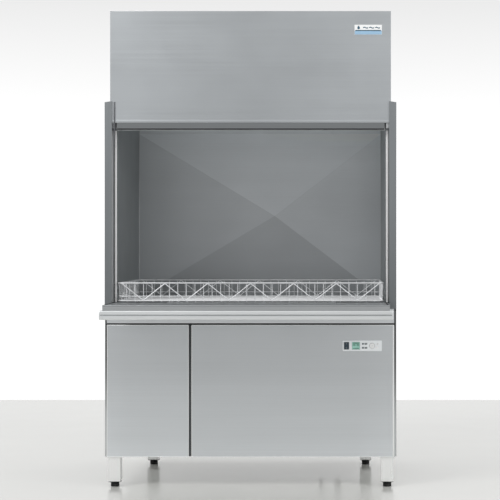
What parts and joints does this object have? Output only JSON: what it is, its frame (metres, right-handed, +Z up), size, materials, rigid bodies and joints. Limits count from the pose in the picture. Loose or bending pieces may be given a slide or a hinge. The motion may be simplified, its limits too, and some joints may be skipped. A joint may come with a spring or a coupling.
{
  "type": "commercial dishwasher",
  "caption": "Free-standing stainless utensil washer: raised upper door half, lower half folded down as a shelf, wire rack, front panels with controls, square legs on levelling feet.",
  "frame": {"origin": "on the floor under the middle of the machine with its lower door folded down, on the centre line of its width", "axes": "+X to the right as seen from the front; +Y to the back, so the front faces -Y; +Z up"},
  "size_m": [1.415, 1.165, 2.311],
  "materials": {
    "base_tray": "satin brushed stainless, in shade grey",
    "leg_front_left": "fine-ground bright stainless",
    "leg_front_right": "fine-ground bright stainless",
    "leg_rear_left": "fine-ground bright stainless",
    "leg_rear_right": "fine-ground bright stainless",
    "foot_front_left": "matt black",
    "foot_front_right": "matt black",
    "foot_rear_left": "matt black",
    "foot_rear_right": "matt black",
    "side_panel_left": "satin brushed stainless sheet",
    "side_panel_right": "satin brushed stainless sheet",
    "door_post_left": "satin brushed stainless, in shade grey",
    "door_post_right": "satin brushed stainless, in shade grey",
    "rear_panel": "satin brushed stainless sheet",
    "top_cover": "satin brushed stainless sheet",
    "chamber_side_left": "satin brushed stainless sheet",
    "chamber_side_right": "satin brushed stainless sheet",
    "chamber_rear_wall": "satin brushed stainless sheet",
    "chamber_roof": "satin brushed stainless sheet",
    "front_rail": "satin brushed stainless sheet",
    "front_panel_left": "satin brushed stainless sheet",
    "front_panel_right": "satin brushed stainless sheet",
    "control_bezel": "satin white",
    "display_window": "clear gloss over a green display",
    "wash_tank": "satin brushed stainless sheet",
    "tank_strainer": "satin brushed stainless sheet",
    "rack_rails": "fine-ground bright stainless",
    "lower_manifold": "satin brushed stainless sheet",
    "upper_manifold": "satin brushed stainless sheet",
    "wash_pump_left": "dark grey enamel",
    "wash_pump_right": "dark grey enamel",
    "rinse_boiler": "fine-ground bright stainless",
    "control_box": "dark grey enamel",
    "cable_gland": "satin black",
    "water_inlet": "fine-ground bright stainless",
    "upper_door_skin": "satin brushed stainless sheet",
    "upper_door_liner": "satin brushed stainless sheet",
    "badge_plate": "satin white",
    "door_cable_left": "fine-ground bright stainless",
    "door_cable_right": "fine-ground bright stainless",
    "lower_door_liner": "satin brushed stainless sheet",
    "lower_door_skin": "satin brushed stainless sheet",
    "lower_door_handle": "fine-ground bright stainless",
    "rack_floor": "fine-ground bright stainless",
    "rack_front": "fine-ground bright stainless",
    "rack_back": "fine-ground bright stainless",
    "rack_left": "fine-ground bright stainless",
    "rack_right": "fine-ground bright stainless",
    "counterweight_left": "dark grey enamel",
    "weight_cable_left": "fine-ground bright stainless",
    "counterweight_right": "dark grey enamel",
    "weight_cable_right": "fine-ground bright stainless",
    "pulley_left": "satin black",
    "pulley_right": "satin black",
    "lower_arm_left": "fine-ground bright stainless",
    "lower_arm_right": "fine-ground bright stainless",
    "upper_arm_left": "fine-ground bright stainless",
    "upper_arm_right": "fine-ground bright stainless",
    "power_rocker": "satin black",
    "start_button": "satin white"
  },
  "bodies": {
    "cabinet": {"base_tray": "base_tray", "leg_front_left": "leg_front_left", "leg_front_right": "leg_front_right", "leg_rear_left": "leg_rear_left", "leg_rear_right": "leg_rear_right", "foot_front_left": "foot_front_left", "foot_front_right": "foot_front_right", "foot_rear_left": "foot_rear_left", "foot_rear_right": "foot_rear_right", "side_panel_left": "side_panel_left", "side_panel_right": "side_panel_right", "door_post_left": "door_post_left", "door_post_right": "door_post_right", "rear_panel": "rear_panel", "top_cover": "top_cover", "chamber_side_left": "chamber_side_left", "chamber_side_right": "chamber_side_right", "chamber_rear_wall": "chamber_rear_wall", "chamber_roof": "chamber_roof", "front_rail": "front_rail", "front_panel_left": "front_panel_left", "front_panel_right": "front_panel_right", "control_bezel": "control_bezel", "display_window": "display_window", "wash_tank": "wash_tank", "tank_strainer": "tank_strainer", "rack_rails": "rack_rails", "lower_manifold": "lower_manifold", "upper_manifold": "upper_manifold", "wash_pump_left": "wash_pump_left", "wash_pump_right": "wash_pump_right", "rinse_boiler": "rinse_boiler", "control_box": "control_box", "cable_gland": "cable_gland", "water_inlet": "water_inlet"},
    "upper_door": {"upper_door_skin": "upper_door_skin", "upper_door_liner": "upper_door_liner", "badge_plate": "badge_plate", "door_cable_left": "door_cable_left", "door_cable_right": "door_cable_right"},
    "lower_door": {"lower_door_liner": "lower_door_liner", "lower_door_skin": "lower_door_skin", "lower_door_handle": "lower_door_handle"},
    "rack": {"rack_floor": "rack_floor", "rack_front": "rack_front", "rack_back": "rack_back", "rack_left": "rack_left", "rack_right": "rack_right"},
    "left_weight": {"counterweight_left": "counterweight_left", "weight_cable_left": "weight_cable_left"},
    "right_weight": {"counterweight_right": "counterweight_right", "weight_cable_right": "weight_cable_right"},
    "left_pulley": {"pulley_left": "pulley_left"},
    "right_pulley": {"pulley_right": "pulley_right"},
    "lower_arm_1": {"lower_arm_left": "lower_arm_left"},
    "lower_arm_2": {"lower_arm_right": "lower_arm_right"},
    "upper_arm_1": {"upper_arm_left": "upper_arm_left"},
    "upper_arm_2": {"upper_arm_right": "upper_arm_right"},
    "power_switch": {"power_rocker": "power_rocker"},
    "start_key": {"start_button": "start_button"}
  },
  "joints": [
    {"name": "upper_door_slide", "type": "slide", "parent": "cabinet", "child": "upper_door", "axis": [0, 0, 1], "range_m": [-0.576, 0], "deforming": ["door_cable_left", "door_cable_right"]},
    {"name": "left_weight_slide", "type": "slide", "parent": "cabinet", "child": "left_weight", "axis": [0, 0, 1], "range_m": [0, 0.576], "deforming": ["weight_cable_left"]},
    {"name": "left_pulley_spin", "type": "hinge", "parent": "cabinet", "child": "left_pulley", "pos_m": [-0.668, -0.2205, 1.83], "axis": [1, 0, 0], "continuous": true},
    {"name": "right_weight_slide", "type": "slide", "parent": "cabinet", "child": "right_weight", "axis": [0, 0, 1], "range_m": [0, 0.576], "deforming": ["weight_cable_right"]},
    {"name": "right_pulley_spin", "type": "hinge", "parent": "cabinet", "child": "right_pulley", "pos_m": [0.668, -0.2205, 1.83], "axis": [1, 0, 0], "continuous": true},
    {"name": "lower_door_hinge", "type": "hinge", "parent": "cabinet", "child": "lower_door", "pos_m": [0, -0.2995, 0.884], "axis": [-1, 0, 0], "range_deg": [0, 90]},
    {"name": "rack_slide", "type": "slide", "parent": "cabinet", "child": "rack", "axis": [0, 1, 0], "range_m": [-0.24, 0]},
    {"name": "lower_left_arm_spin", "type": "hinge", "parent": "cabinet", "child": "lower_arm_1", "pos_m": [-0.325, 0.1175, 0.87], "axis": [0, 0, 1], "continuous": true},
    {"name": "lower_right_arm_spin", "type": "hinge", "parent": "cabinet", "child": "lower_arm_2", "pos_m": [0.325, 0.1175, 0.87], "axis": [0, 0, 1], "continuous": true},
    {"name": "upper_left_arm_spin", "type": "hinge", "parent": "cabinet", "child": "upper_arm_1", "pos_m": [-0.325, 0.1175, 1.786], "axis": [0, 0, 1], "continuous": true},
    {"name": "upper_right_arm_spin", "type": "hinge", "parent": "cabinet", "child": "upper_arm_2", "pos_m": [0.325, 0.1175, 1.786], "axis": [0, 0, 1], "continuous": true},
    {"name": "power_rocker_tilt", "type": "hinge", "parent": "cabinet", "child": "power_switch", "pos_m": [0.4657, -0.2785, 0.6872], "axis": [1, 0, 0], "range_deg": [-6, 6]},
    {"name": "start_button_push", "type": "slide", "parent": "cabinet", "child": "start_key", "axis": [0, 1, 0], "range_m": [0, 0.001], "stiffness_N_per_m": 400}
  ],
  "couplings": [
    {"joint": "left_weight_slide", "follows": "upper_door_slide", "ratio": -1},
    {"joint": "right_weight_slide", "follows": "upper_door_slide", "ratio": -1},
    {"joint": "left_pulley_spin", "follows": "upper_door_slide", "rad_per_m": -35.088},
    {"joint": "right_pulley_spin", "follows": "upper_door_slide", "rad_per_m": -35.088}
  ]
}
